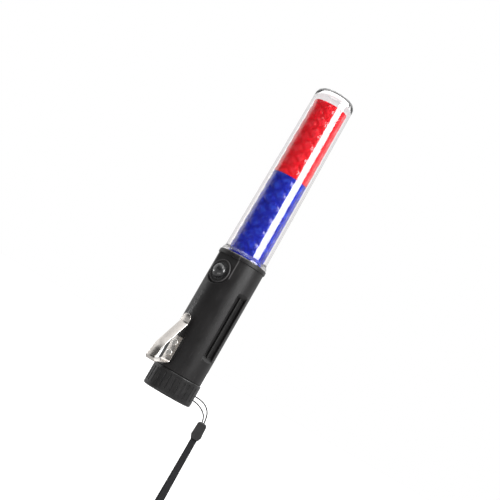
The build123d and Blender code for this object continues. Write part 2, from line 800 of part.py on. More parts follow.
def tail_contact():
    """The brass cup in the cap's well, with a flange that meets the foot of the return strip."""
    wall_r = CAP_WELL_R - SLIDE_GAP
    thick = 0.4
    floor = CAP_FLOOR + 0.03
    lip = CAP_SHOULDER + 0.03
    return turned(
        [
            (0, floor),
            (wall_r, floor),
            (wall_r, lip),
            (SPIGOT_BORE_R, lip),
            (SPIGOT_BORE_R, lip + thick),
            (wall_r - thick, lip + thick),
            (wall_r - thick, floor + thick),
            (0, floor + thick),
        ]
    )


def tail_spring():
    """The conical spring that presses the battery carrier forwards."""
    return coil_spring(8.0, 4.5, CAP_FLOOR + 0.5, CARRIER_BOTTOM - 0.1, 3.5, 0.5)


# Belt clip


def strip(route, radii):
    """A bent strip of spring steel, from its middle line as (out, height) points."""
    line = FilletPolyline(*[(-out, height) for out, height in route], radius=radii)
    band = trace(line, STRIP_THICK)
    return extrude(Plane.YZ.offset(-STRIP_WIDTH / 2) * band, STRIP_WIDTH)


def along(start, end, distance):
    """The point that lies a distance from start towards end, both (out, height) points."""
    way = Vector(*end) - Vector(*start)
    point = Vector(*start) + way.normalized() * distance
    return (point.X, point.Y)


def clip_anchor():
    """The fixed leg of the belt clip: flat on its pad, then slanting out and up to the free leg."""
    leg_start = along(LOWER_BEND, LEG_BEND, CLIP_SPLIT_UP - CLIP_SPLIT / 2)
    route = [(PAD_BEND[0], CLIP_PAD_TOP - 0.5), PAD_BEND, LOWER_BEND, leg_start]
    body = strip(route, [PAD_BEND_R, LOWER_BEND_R])
    return body - rivet_holes(1.0)


def clip_leg():
    """The free leg of the belt clip, which runs up to a knee by the barrel and a turned-out lip."""
    start = along(LOWER_BEND, LEG_BEND, CLIP_SPLIT_UP + CLIP_SPLIT / 2)
    body = strip([start, LEG_BEND, KNEE, LIP_END], [LEG_BEND_R, KNEE_R])
    corner_radius = STRIP_WIDTH / 2 - 0.4
    lip_corners = body.edges().filter_by(Axis.X, reverse=True).group_by(Axis.Z)[-1]
    tip_edges = [edge for edge in lip_corners if edge.length < 1.5 * STRIP_THICK]
    return fillet(tip_edges, corner_radius) if len(tip_edges) == 2 else body


def clip_rivets():
    """Two rivets that hold the fixed leg, each with a domed head outside and a formed head inside."""
    strip_y = CLIP_PAD_Y - STRIP_THICK - 0.04
    inner_y = -BARREL_R + WALL + 0.35
    rivets = []
    for height in RIVET_HEIGHTS:
        head = rod(RIVET_HEAD_R, (0, strip_y, height), (0, strip_y - 1.0, height))
        head = fillet(head.edges().group_by(Axis.Y)[0], 0.8)
        shank = rod(RIVET_SHANK_R, (0, strip_y - 0.2, height), (0, inner_y + 0.5, height))
        tail = rod(RIVET_HEAD_R, (0, inner_y, height), (0, inner_y + 0.9, height))
        rivets.append(head + shank + tail)
    return rivets


# Wrist strap


def strap_plane():
    """The upright plane that the strap hangs in: x runs out from the axis and y runs up."""
    angle = math.radians(LANYARD_ANGLE)
    outwards = (math.cos(angle), math.sin(angle), 0)
    return Plane((0, 0, 0), x_dir=outwards, z_dir=(math.sin(angle), -math.cos(angle), 0))


def lanyard_cord():
    """The thin cord, a loop from the crimp round the pin in the end cap."""
    radii = arc_radii(LANYARD_ROUTE)
    print("lanyard cord radii", [round(radius, 2) for radius in radii])
    path = FilletPolyline(*LANYARD_ROUTE, radius=radii)
    section = Plane(origin=path @ 0, z_dir=path % 0) * Circle(CORD_D / 2)
    cord = sweep(section, path)
    expected = math.pi * (CORD_D / 2) ** 2 * path.length
    print("lanyard cord length", round(path.length, 1))
    print("lanyard cord volume", round(cord.volume, 1), "of", round(expected, 1))
    return strap_plane() * cord


def strap_crimp():
    """The black tab that holds the ends of the cord and of the webbing."""
    bottom = CRIMP_TOP - CRIMP_HEIGHT
    outline = Polyline(
        (CRIMP_OUT - CRIMP_TOP_WIDTH / 2, CRIMP_TOP),
        (CRIMP_OUT + CRIMP_TOP_WIDTH / 2, CRIMP_TOP),
        (CRIMP_OUT + CRIMP_WIDTH / 2, bottom + 3.0),
        (CRIMP_OUT + WEB_WIDTH / 2 + 0.4, bottom),
        (CRIMP_OUT - WEB_WIDTH / 2 - 0.4, bottom),
        (CRIMP_OUT - CRIMP_WIDTH / 2, bottom + 3.0),
        close=True,
    )
    face = make_face(outline)
    face = fillet(face.vertices().group_by(Axis.Y)[-1], 2.2)
    body = extrude(strap_plane() * Pos(0, 0, -CRIMP_THICK / 2) * face, CRIMP_THICK)
    rims = body.faces().filter_by(Plane(strap_plane().origin, z_dir=strap_plane().z_dir))
    return fillet(rims.edges(), 0.7)


def wrist_strap():
    """The loop of flat webbing that hangs from the crimp."""
    radii = arc_radii(WEB_ROUTE)
    print("wrist strap radii", [round(radius, 1) for radius in radii])
    path = FilletPolyline(*WEB_ROUTE, radius=radii)
    band = trace(path, WEB_THICK)
    loop = extrude(Pos(0, 0, CRIMP_OUT - WEB_WIDTH / 2) * band, WEB_WIDTH)
    expected = WEB_WIDTH * WEB_THICK * path.length
    print("wrist strap length", round(path.length, 1))
    print("wrist strap volume", round(loop.volume, 1), "of", round(expected, 1))
    angle = math.radians(LANYARD_ANGLE)
    sideways = (-math.sin(angle), math.cos(angle), 0)
    outwards = (math.cos(angle), math.sin(angle), 0)
    return Plane((0, 0, 0), x_dir=sideways, z_dir=outwards) * loop


def main():
    os.makedirs("parts", exist_ok=True)
    save("handle_shell", handle_shell())
    save("lamp_tube", lamp_tube())
    save("lamp_gasket", lamp_gasket())
    save("lamp_base", lamp_base())
    save("base_screws", *base_screws())
    save("blue_sleeve", sleeve(SLEEVE_BOTTOM, SLEEVE_JOINT - 0.05))
    save("red_sleeve", sleeve(SLEEVE_JOINT + 0.05, SLEEVE_TOP))
    save("sleeve_cap", sleeve_cap())
    save("led_board", led_board_blank())
    save("blue_leds", *leds(SLEEVE_BOTTOM + 10))
    save("red_leds", *leds(SLEEVE_JOINT + 4))
    save("led_resistors", *led_resistors())
    save("led_wires", *led_wires())
    save("button_bezel", button_bezel())
    save("push_button", push_button())
    save("switch_case", switch_case())
    save("switch_plunger", switch_plunger())
    save("control_board", control_board())
    save("board_screws", *board_screws())
    save("control_chip", control_chip())
    save("bulkhead", bulkhead())
    save("front_contact", front_contact())
    save("power_wires", *power_wires())
    save("battery_carrier", battery_carrier())
    save("batteries", *batteries())
    save("cell_springs", *cell_springs())
    save("cell_plates", *cell_plates())
    save("return_strip", return_strip())
    save("end_cap", end_cap())
    save("lanyard_pin", lanyard_pin())
    save("cap_gasket", cap_gasket())
    save("tail_contact", tail_contact())
    save("tail_spring", tail_spring())
    save("clip_anchor", clip_anchor())
    save("clip_leg", clip_leg())
    save("clip_rivets", *clip_rivets())
    save("lanyard_cord", lanyard_cord())
    save("strap_crimp", strap_crimp())
    save("wrist_strap", wrist_strap())


main()
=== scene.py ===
import math

import bpy
import numpy as np
from mathutils import Matrix, Vector


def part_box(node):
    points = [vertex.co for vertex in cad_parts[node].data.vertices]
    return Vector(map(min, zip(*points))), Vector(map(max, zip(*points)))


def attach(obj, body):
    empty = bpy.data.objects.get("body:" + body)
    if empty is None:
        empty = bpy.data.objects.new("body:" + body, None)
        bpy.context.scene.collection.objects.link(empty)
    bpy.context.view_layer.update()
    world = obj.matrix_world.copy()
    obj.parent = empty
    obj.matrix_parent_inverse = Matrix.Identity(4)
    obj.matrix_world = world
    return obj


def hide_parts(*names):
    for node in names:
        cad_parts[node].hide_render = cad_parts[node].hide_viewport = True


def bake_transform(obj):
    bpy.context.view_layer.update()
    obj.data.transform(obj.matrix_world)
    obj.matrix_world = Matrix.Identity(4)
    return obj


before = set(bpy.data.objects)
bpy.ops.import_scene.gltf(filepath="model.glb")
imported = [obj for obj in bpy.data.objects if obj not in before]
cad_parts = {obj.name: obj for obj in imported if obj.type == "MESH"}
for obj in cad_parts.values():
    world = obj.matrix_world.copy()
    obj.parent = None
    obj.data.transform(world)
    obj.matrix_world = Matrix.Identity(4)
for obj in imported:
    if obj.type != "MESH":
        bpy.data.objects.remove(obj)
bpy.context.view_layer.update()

# A hand-held traffic baton light. The baton's axis is +Z with the lamp upwards; the push button and the
# belt clip face -Y. Lengths are in metres unless a comment says millimetres. MM turns those into metres.
MM = 0.001
GRIP_HEIGHT = 55.0 * MM

# Camera: it looks at the baton from a little below, rolled so that the baton leans over.
CAMERA_AZIMUTH = math.radians(41.79)
CAMERA_ELEVATION = math.radians(-5.83)
CAMERA_ROLL = math.radians(29.90)
CAMERA_DISTANCE = 0.9203
CAMERA_TARGET = Vector((0, 0, 0.071))
CAMERA_OFFSET = (0.001005, 0.000828)
CAMERA_LENS = 86.4
CAMERA_SENSOR = 36

# Lanyard cord and wrist strap: the middle of both is in the upright plane at this angle from +X.
STRAP_ANGLE = math.radians(45)
OUTWARDS = Vector((math.cos(STRAP_ANGLE), math.sin(STRAP_ANGLE), 0))
SIDEWAYS = Vector((-math.sin(STRAP_ANGLE), math.cos(STRAP_ANGLE), 0))
SPLINE_STEPS = 24
CORD_D = 1.0 * MM
CORD_STRANDS = 4
CORD_TWIST = 3.0 * MM
CORD_STEP = 0.12 * MM
CORD_SIDES = 24
CORD_CORE = 0.93
CORD_STRAND_RELIEF = 0.09
WEB_OUT = 35.15 * MM
WEB_WIDTH = 5.0 * MM
WEB_THICK = 1.2 * MM
WEB_STEP = 0.25 * MM
WEB_RIBS = 9
WEB_RIB_POWER = 0.7
WEB_PICK = 0.9 * MM
WEB_PICK_DEPTH = 0.45
WEB_RELIEF = 0.09 * MM
WEB_COLUMNS = 54
WEB_EDGE = WEB_THICK * 0.32
WEB_EDGE_STEPS = 6
WEB_EDGE_BEAD = 0.06

# Film sleeves inside the lamp tube. Their diamonds stand up from grooves that cross in two spirals.
FILM_WALL = 0.6 * MM
FILM_BOTTOM_R = 14.6 * MM
FILM_TOP_R = 13.75 * MM
FILM_DIAMONDS = 14
FILM_PITCH = 10.8 * MM
FILM_RELIEF = 0.32 * MM
FILM_GROOVE = 0.32
FILM_RIM = 1.2 * MM
FILM_COLUMNS = 336
FILM_ROW = 0.5 * MM
FILM_SHARP_ANGLE = math.radians(50)

# Belt clip, in millimetres. Its line goes through points given as (out, height above the butt).
CLIP_WIDTH = 9.0
CLIP_THICK = 0.8
CLIP_EDGE = 0.22
CLIP_END_FLAT = 0.4
CLIP_STEP = 0.25
CLIP_SHARP_ANGLE = math.radians(40)
CLIP_PAD_TOP = (20.1, 43.0)
CLIP_PAD_BEND = (20.12, 22.4)
CLIP_LOWER_BEND = (37.4, 17.0)
CLIP_LEG_BEND = (34.4, 30.5)
CLIP_KNEE = (22.9, 54.0)
CLIP_LIP_END = (23.5, 61.2)
CLIP_RADII = (2.6, 2.0, 30.0, 3.4)
CLIP_HINGE_UP = 6.2
CLIP_BLEND = 1.8

# Places of painted highlights and wear on the handle, and of wear on the cap, in millimetres
FLAT_HALF_WIDTH = 10.9
FLAT_BOTTOM_Z = 42.8
FLAT_Y = (-15.2, -14.6)
RECESS_HALF_WIDTH = 5.85
RECESS_HALF_LENGTH = 30.0
RECESS_MIDDLE_Z = 10.0
RECESS_RIM_X = (17.6, 18.0)
BUTTON_Z = 46.0
BEZEL_R = 9.2
COLLAR_RIM = 1.0
COLLAR_HIGHLIGHT_AND_WEAR_WIDTH = 1.6
CAP_RIM = 0.6
CAP_WEAR_WIDTH = 1.4
EDGE_HIGHLIGHT_WIDTH = 0.5
RECESS_HIGHLIGHT_WIDTH = 0.45

# How much paler each of those places is, next to the painted highlight along the edges of the flat: the
# recess and bezel values are painted highlights, the collar's is a painted highlight mixed with wear
COLLAR_HIGHLIGHT_AND_WEAR = 0.25
RECESS_HIGHLIGHT = 0.35
BEZEL_HIGHLIGHT = 0.7

# Textures: a wave texture's Scale that gives one band per unit, and the noise's own roughness
ONE_BAND = math.tau / 20
NOISE_ROUGHNESS = 0.55

# Studio
FLOOR_Z = -0.2
FLOOR_SIZE = 60.0
FLOOR_BOUNCE = 0.3
SKY_LEVELS = (0.05, 2.6)
SKY_HEIGHTS = (0.3, 0.95)
BACKDROP_LEVELS = (0.0, 0.78)
BACKDROP_SPREAD = (0.15, 0.6)


# Camera and cords


def make_camera():
    """The camera, at the viewing angle of the photograph."""
    azimuth, elevation, roll = CAMERA_AZIMUTH, CAMERA_ELEVATION, CAMERA_ROLL
    back = Vector(
        (
            math.sin(azimuth) * math.cos(elevation),
            -math.cos(azimuth) * math.cos(elevation),
            math.sin(elevation),
        )
    )
    right = Vector((math.cos(azimuth), math.sin(azimuth), 0))
    up = back.cross(right)
    across = right * math.cos(roll) + up * math.sin(roll)
    upwards = up * math.cos(roll) - right * math.sin(roll)
    data = bpy.data.cameras.new("camera")
    data.lens = CAMERA_LENS
    data.sensor_width = CAMERA_SENSOR
    camera = bpy.data.objects.new("camera", data)
    bpy.context.collection.objects.link(camera)
    turn = Matrix((across, upwards, back)).transposed().to_4x4()
    place = CAMERA_TARGET + back * CAMERA_DISTANCE + across * CAMERA_OFFSET[0] + upwards * CAMERA_OFFSET[1]
    camera.matrix_world = Matrix.Translation(place) @ turn
    bpy.context.scene.camera = camera


def mesh_piece(name, points, faces, smooth=True):
    """A mesh object from points in metres."""
    data = bpy.data.meshes.new(name)
    data.from_pydata([tuple(point) for point in points], [], faces)
    data.update()
    if smooth:
        data.polygons.foreach_set("use_smooth", [True] * len(data.polygons))
    piece = bpy.data.objects.new(name, data)
    bpy.context.collection.objects.link(piece)
    return piece


def spline_points(route):
    """Points along the NURBS line that has the route's points as its control points."""
    data = bpy.data.curves.new("route", "CURVE")
    data.dimensions = "3D"
    data.resolution_u = SPLINE_STEPS
    spline = data.splines.new("NURBS")
    spline.points.add(len(route) - 1)
    for control, place in zip(spline.points, route):
        control.co = (*place, 1)
    spline.order_u = 3
    spline.use_endpoint_u = True
    holder = bpy.data.objects.new("route", data)
    line = bpy.data.meshes.new_from_object(holder)
    points = [vertex.co.copy() for vertex in line.vertices]
    bpy.data.objects.remove(holder)
    return points


def evenly(points, step):
    """The same line with points at even distances, about a step apart."""
    line = np.array([tuple(point) for point in points])
    lengths = np.concatenate(([0], np.cumsum(np.linalg.norm(np.diff(line, axis=0), axis=1))))
    count = round(lengths[-1] / step) + 1
    places = np.linspace(0, lengths[-1], count)
    return np.stack([np.interp(places, lengths, line[:, k]) for k in range(3)], axis=1), places


def directions(line):
    """The unit vector along the line at each of its points."""
    tangents = np.gradient(line, axis=0)
    return tangents / np.linalg.norm(tangents, axis=1)[:, None]


def swept(name, route, step, flat_side, outline):
    """A closed tube along a route in one plane.

    outline(distance) gives the section's points as (along flat_side, across it).
    """
    line, places = evenly(spline_points(route), step)
    side = np.array(tuple(flat_side))
    points = []
    for middle, tangent, distance in zip(line, directions(line), places):
        across = np.cross(tangent, side)
        for a, b in outline(distance):
            points.append(middle + side * a + across * b)
    faces = capped_tube_faces(len(line), len(outline(0.0)))
    return mesh_piece(name, points, faces), [tuple(point) for point in line]


def tube_faces(rings, ring):
    """The quads between rings of points."""
    faces = []
    for row in range(rings - 1):
        for column in range(ring):
            right = (column + 1) % ring
            low = row * ring
            high = low + ring
            faces.append((low + column, low + right, high + right, high + column))
    return faces


def capped_tube_faces(rings, ring):
    """The quads between rings of points, and a face across each end."""
    faces = tube_faces(rings, ring)
    faces.append(list(range(ring))[::-1])
    faces.append([(rings - 1) * ring + k for k in range(ring)])
    return faces


def cord_outline(distance):
    """A round cord whose strands cross each other, like a fine braid."""
    ring = []
    for k in range(CORD_SIDES):
        angle = math.tau * k / CORD_SIDES
        first = CORD_STRANDS * angle / math.tau + distance / CORD_TWIST
        second = CORD_STRANDS * angle / math.tau - distance / CORD_TWIST
        strand = max(math.cos(math.tau * first), math.cos(math.tau * second))
        radius = CORD_D / 2 * (CORD_CORE + CORD_STRAND_RELIEF * strand)
        ring.append((radius * math.cos(angle), radius * math.sin(angle)))
    return ring


def web_outline(distance):
    """Flat webbing with ribs along it, each crossed by the weft in turn, and rounded edges."""
    half_width = WEB_WIDTH / 2 - WEB_EDGE
    half_thick = WEB_THICK / 2 - WEB_RELIEF
    ring = []
    for side in (1, -1):
        for k in range(WEB_COLUMNS):
            share = k / (WEB_COLUMNS - 1)
            across = side * (2 * share - 1) * half_width
            rib_phase = share * WEB_RIBS
            rib = math.sin(math.pi * (rib_phase % 1)) ** WEB_RIB_POWER
            turn = math.pi * (int(min(rib_phase, WEB_RIBS - 0.01)) % 2)
            pick = 1 - WEB_PICK_DEPTH + WEB_PICK_DEPTH * math.cos(math.tau * distance / WEB_PICK + turn)
            ring.append((across, side * (half_thick + WEB_RELIEF * rib * pick)))
        for k in range(1, WEB_EDGE_STEPS):
            angle = math.pi * (0.5 - k / WEB_EDGE_STEPS)
            edge = side * (half_width + WEB_EDGE * math.cos(angle))
            bead = 1 + WEB_EDGE_BEAD * math.cos(math.tau * distance / WEB_PICK)
            ring.append((edge * bead, side * half_thick * math.sin(angle)))
    return ring


def make_lanyard():
    """The thin cord from the crimp, round the pin in the end cap and back.

    Its route is (out from the axis, height above the butt), in millimetres.
    """
    route = [
        (35.9, -5.6),
        (35.3, 1.0),
        (32.4, 6.0),
        (27.6, 8.9),
        (21.9, 9.8),
        (16.4, 9.5),
        (16.4, 6.5),
        (21.5, 6.2),
        (26.5, 5.0),
        (31.0, 2.2),
        (33.6, -1.2),
        (34.4, -5.6),
    ]
    places = [OUTWARDS * (out * MM) + Vector((0, 0, height * MM - GRIP_HEIGHT)) for out, height in route]
    piece, line = swept("lanyard_braid", places, CORD_STEP, SIDEWAYS, cord_outline)
    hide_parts("lanyard_cord")
    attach(piece, "cap")
    return piece


def make_wrist_strap():
    """The webbing loop that hangs from the crimp.

    Its route is (sideways from the loop's middle, height above the butt), in millimetres.
    """
    route = [
        (0.95, -17.6),
        (1.3, -33.0),
        (4.4, -55.0),
        (9.2, -80.0),
        (13.4, -103.0),
        (14.6, -120.0),
        (8.6, -134.0),
        (-5.2, -136.5),
        (-14.2, -125.5),
        (-14.8, -108.0),
        (-10.8, -84.0),
        (-5.3, -58.0),
        (-1.5, -34.5),
        (-0.95, -17.6),
    ]
    places = [
        OUTWARDS * WEB_OUT + SIDEWAYS * (side * MM) + Vector((0, 0, height * MM - GRIP_HEIGHT))
        for side, height in route
    ]
    piece, line = swept("wrist_webbing", places, WEB_STEP, OUTWARDS, web_outline)
    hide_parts("wrist_strap")
    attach(piece, "cap")
    return piece


# Pieces made here


def ease(share):
    """0 to 1 with a soft start and end."""
    share = min(max(share, 0.0), 1.0)
    return share * share * (3 - 2 * share)


def film_radius(z):
    """The smooth outer radius of the film cone at a height."""
    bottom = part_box("blue_sleeve")[0][2]
    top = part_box("red_sleeve")[1][2]
    share = (z - bottom) / (top - bottom)
    return FILM_BOTTOM_R + (FILM_TOP_R - FILM_BOTTOM_R) * share


def pillow(angle, z):
    """The raised part of the film's diamonds, 0 in the grooves and 1 on top."""
    turn = FILM_DIAMONDS * angle / math.tau / 2
    height = 1.0
    for phase in (turn + z / FILM_PITCH, turn - z / FILM_PITCH):
        groove = 0.5 - abs(phase - round(phase))
        height *= ease(groove / FILM_GROOVE)
    return height


def make_film(name, node):
    """A rolled sheet of prismatic film with pressed diamonds, as a thin closed tube."""
    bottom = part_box(node)[0][2]
    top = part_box(node)[1][2]
    rows = round((top - bottom) / FILM_ROW) + 1
    angles = [math.tau * k / FILM_COLUMNS for k in range(FILM_COLUMNS)]
    points = []
    for row in range(rows):
        z = bottom + (top - bottom) * row / (rows - 1)
        edge = ease(min(z - bottom, top - z) / FILM_RIM)
        base = film_radius(z) - FILM_RELIEF * 0.5
        for angle in angles:
            radius = base + FILM_RELIEF * edge * pillow(angle, z)
            points.append((radius * math.cos(angle), radius * math.sin(angle), z))
    for z in (top, bottom):
        inner = film_radius(z) - FILM_WALL
        for angle in angles:
            points.append((inner * math.cos(angle), inner * math.sin(angle), z))
    faces = tube_faces(rows + 2, FILM_COLUMNS)
    inner_bottom = (rows + 1) * FILM_COLUMNS
    for column in range(FILM_COLUMNS):
        right = (column + 1) % FILM_COLUMNS
        faces.append((inner_bottom + column, inner_bottom + right, right, column))
    piece = mesh_piece(name, points, faces)
    piece.data.set_sharp_from_angle(angle=FILM_SHARP_ANGLE)
    # The height of each point in its diamond, which the film material uses for its painted highlights on the
    # crowns and painted shade in the grooves
    raised = [pillow(math.atan2(y, x), z) for x, y, z in points]
    piece.data.attributes.new("raised", "FLOAT", "POINT").data.foreach_set("value", raised)
    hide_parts(node)
    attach(piece, "handle")
    return piece


def rounded_line(points, radii, step):
    """A line through (out, height) points with an arc at each bend, in points about a step apart."""
    line = [Vector(points[0])]
    for before, corner, after, radius in zip(points, points[1:], points[2:], radii):
        corner = Vector(corner)
        to_before = (Vector(before) - corner).normalized()
        to_after = (Vector(after) - corner).normalized()
        half = to_before.angle(to_after) / 2
        cut = radius / math.tan(half)
        start = corner + to_before * cut
        end = corner + to_after * cut
        middle = corner + (to_before + to_after).normalized() * (radius / math.sin(half))
        first = start - middle
        sweep = first.angle_signed(end - middle)
        count = max(2, round(abs(sweep) * radius / step))
        for k in range(count + 1):
            angle = -sweep * k / count
            turned = Vector(
                (
                    first.x * math.cos(angle) - first.y * math.sin(angle),
                    first.x * math.sin(angle) + first.y * math.cos(angle),
                )
            )
            line.append(middle + turned)
    line.append(Vector(points[-1]))
    return line


def clip_half_width(to_end):
    """Half the strip's width, at a distance in millimetres from its rounded end."""
    half = CLIP_WIDTH / 2
    corner = half - CLIP_END_FLAT
    if to_end >= corner:
        return half
    return half - corner + math.sqrt(max(corner**2 - (corner - to_end) ** 2, 0.0))


def clip_outline(half_width):
    """The strip's section, with its long edges rounded, as (sideways, through) in millimetres."""
    ring = []
    for side_x, side_y, start in ((1, 1, 0), (-1, 1, 90), (-1, -1, 180), (1, -1, 270)):
        for k in range(4):
            angle = math.radians(start + 30 * k)
            x = side_x * (half_width - CLIP_EDGE) + CLIP_EDGE * math.cos(angle)
            y = side_y * (CLIP_THICK / 2 - CLIP_EDGE) + CLIP_EDGE * math.sin(angle)
            ring.append((x, y))
    return ring


def make_clip():
    """The belt clip: one bent strip of spring steel, with a fixed pad and a free leg that springs out.

    It comes with the two ends of its blend. They lie each side of the hinge, across the line from the pad's
    top to the lower bend, so that the pad and the short arm below it stay wholly with the handle.
    """
    corners = [CLIP_PAD_TOP, CLIP_PAD_BEND, CLIP_LOWER_BEND, CLIP_LEG_BEND, CLIP_KNEE, CLIP_LIP_END]
    bent = rounded_line(corners, CLIP_RADII, CLIP_STEP)
    line, places = evenly([(point.x, point.y, 0) for point in bent], CLIP_STEP)
    points = []
    for middle, tangent, place in zip(line, directions(line), places):
        normal = (-tangent[1], tangent[0])
        half_width = clip_half_width(places[-1] - place)
        for x, through in clip_outline(half_width):
            out = middle[0] + normal[0] * through
            height = middle[1] + normal[1] * through
            points.append((x * MM, -out * MM, height * MM - GRIP_HEIGHT))
    faces = capped_tube_faces(len(line), len(clip_outline(CLIP_WIDTH / 2)))
    piece = mesh_piece("clip_strip", points, faces)
    piece.data.set_sharp_from_angle(angle=CLIP_SHARP_ANGLE)
    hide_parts("clip_anchor", "clip_leg")
    lower = Vector(CLIP_LOWER_BEND)
    hinge = lower + (Vector(CLIP_LEG_BEND) - lower).normalized() * CLIP_HINGE_UP
    to_pad_top = Vector(CLIP_PAD_TOP) - lower
    away = Vector((to_pad_top.y, -to_pad_top.x)).normalized()
    ends = []
    for distance in (-CLIP_BLEND, CLIP_BLEND):
        out, height = hinge + away * distance
        ends.append((0, -out * MM, height * MM - GRIP_HEIGHT))
    return piece, ends


# Materials


class Look:
    """One node-based material. Its textures are laid out in millimetres of the object's own space."""

    def __init__(self, name):
        self.material = bpy.data.materials.new(name)
        self.material.use_nodes = True
        self.tree = self.material.node_tree
        self.shader = self.tree.nodes["Principled BSDF"]
        coordinates = self.node("ShaderNodeTexCoord")
        self.place = self.stretched(coordinates.outputs["Object"], (1 / MM, 1 / MM, 1 / MM))
        self.height = None

    def node(self, kind, **settings):
        made = self.tree.nodes.new(kind)
        for key, value in settings.items():
            setattr(made, key, value)
        return made

    def link(self, source, target):
        self.tree.links.new(source, target)

    def stretched(self, source, scale, move=(0, 0, 0)):
        """The coordinates, scaled along each axis and then moved."""
        mapping = self.node("ShaderNodeMapping")
        mapping.inputs["Scale"].default_value = scale
        mapping.inputs["Location"].default_value = move
        self.link(source, mapping.inputs["Vector"])
        return mapping.outputs["Vector"]

    def noise(self, size, detail, stretch=(1, 1, 1)):
        """Noise with blotches of about this size in millimetres."""
        texture = self.node("ShaderNodeTexNoise")
        texture.inputs["Scale"].default_value = 1 / size
        texture.inputs["Detail"].default_value = detail
        texture.inputs["Roughness"].default_value = NOISE_ROUGHNESS
        self.link(self.stretched(self.place, stretch), texture.inputs["Vector"])
        return texture.outputs["Fac"]

    def wave(self, size, direction, distortion=0.0):
        """Bands of this pitch in millimetres, across X, Y or Z."""
        texture = self.node("ShaderNodeTexWave", bands_direction=direction)
        texture.inputs["Scale"].default_value = ONE_BAND / size
        texture.inputs["Distortion"].default_value = distortion
        self.link(self.place, texture.inputs["Vector"])
        return texture.outputs["Fac"]

    def axis(self, name):
        """One coordinate in millimetres."""
        split = self.node("ShaderNodeSeparateXYZ")
        self.link(self.place, split.inputs[0])
        return split.outputs[name]

    def span(self, source, low, high, to_low=0.0, to_high=1.0):
        """The source, mapped from low..high to to_low..to_high and held at the ends."""
        ranged = self.node("ShaderNodeMapRange")
        ranged.inputs["From Min"].default_value = low
        ranged.inputs["From Max"].default_value = high
        ranged.inputs["To Min"].default_value = to_low
        ranged.inputs["To Max"].default_value = to_high
        self.link(source, ranged.inputs["Value"])
        return ranged.outputs["Result"]

    def math(self, operation, first, second):
        """A math node on two inputs, each a source or a number."""
        worked = self.node("ShaderNodeMath", operation=operation)
        for slot, value in zip(worked.inputs, (first, second)):
            if isinstance(value, (int, float)):
                slot.default_value = value
            else:
                self.link(value, slot)
        return worked.outputs["Value"]

    def size_of(self, source):
        """The source without its sign."""
        return self.math("ABSOLUTE", source, 0)

    def product(self, first, second):
        """Two inputs multiplied, each a source or a number."""
        return self.math("MULTIPLY", first, second)

    def near(self, source, value, width):
        """1 where the source is at the value, falling to 0 a width away."""
        off = self.size_of(self.math("SUBTRACT", source, value))
        return self.span(off, 0, width, 1, 0)

    def colours(self, source, stops):
        """The base colour by a ramp of (place, colour)."""
        self.link(self.ramp(source, stops), self.shader.inputs["Base Color"])

    def ramp(self, source, stops):
        """The source turned into a colour by a ramp of (place, colour)."""
        ramp = self.node("ShaderNodeValToRGB")
        elements = ramp.color_ramp.elements
        while len(elements) < len(stops):
            elements.new(0.5)
        for element, (place, colour) in zip(elements, stops):
            element.position = place
            element.color = (*colour, 1)
        self.link(source, ramp.inputs["Fac"])
        return ramp.outputs["Color"]

    def mixed(self, amount, first, second):
        """A colour between two, each a source or a plain colour."""
        mix = self.node("ShaderNodeMix", data_type="RGBA")
        self.link(amount, mix.inputs["Factor"])
        for slot, value in ((mix.inputs["A"], first), (mix.inputs["B"], second)):
            if isinstance(value, tuple):
                slot.default_value = (*value, 1)
            else:
                self.link(value, slot)
        return mix.outputs["Result"]

    def set(self, **values):
        """Plain values on the shader's own sockets, underscores for spaces."""
        for key, value in values.items():
            self.shader.inputs[key.replace("_", " ")].default_value = value

    def rough(self, source, low, high):
        """Roughness between two values, by a noise, most of which lies between 0.3 and 0.7."""
        self.link(self.span(source, 0.3, 0.7, low, high), self.shader.inputs["Roughness"])

    def raise_by(self, source, height):
        """Bump of this height in millimetres, on top of any before it."""
        bump = self.node("ShaderNodeBump")
        bump.inputs["Distance"].default_value = height * MM
        self.link(source, bump.inputs["Height"])
        if self.height:
            self.link(self.height, bump.inputs["Normal"])
        self.height = bump.outputs["Normal"]
        self.link(self.height, self.shader.inputs["Normal"])

    def give(self, *pieces):
        """Puts the material on pieces, or on CAD nodes by name."""
        for piece in pieces:
            if isinstance(piece, str):
                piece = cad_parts[piece]
            piece.data.materials.clear()
            piece.data.materials.append(self.material)


def shade(colour, factor):
    """The colour, made darker or lighter."""
    return tuple(part * factor for part in colour)


def moulded(name, colour, roughness, grain_size=0.35, grain_height=0.012):
    """Moulded plastic with a fine spark-eroded grain and faint flow marks."""
    look = Look(name)
    blotches = look.noise(9.0, 4.0)
    look.colours(blotches, [(0.3, shade(colour, 0.82)), (0.7, shade(colour, 1.2))])
    look.rough(look.noise(4.0, 3.0), roughness - 0.05, roughness + 0.07)
    look.raise_by(look.noise(grain_size, 2.0), grain_height)
    return look


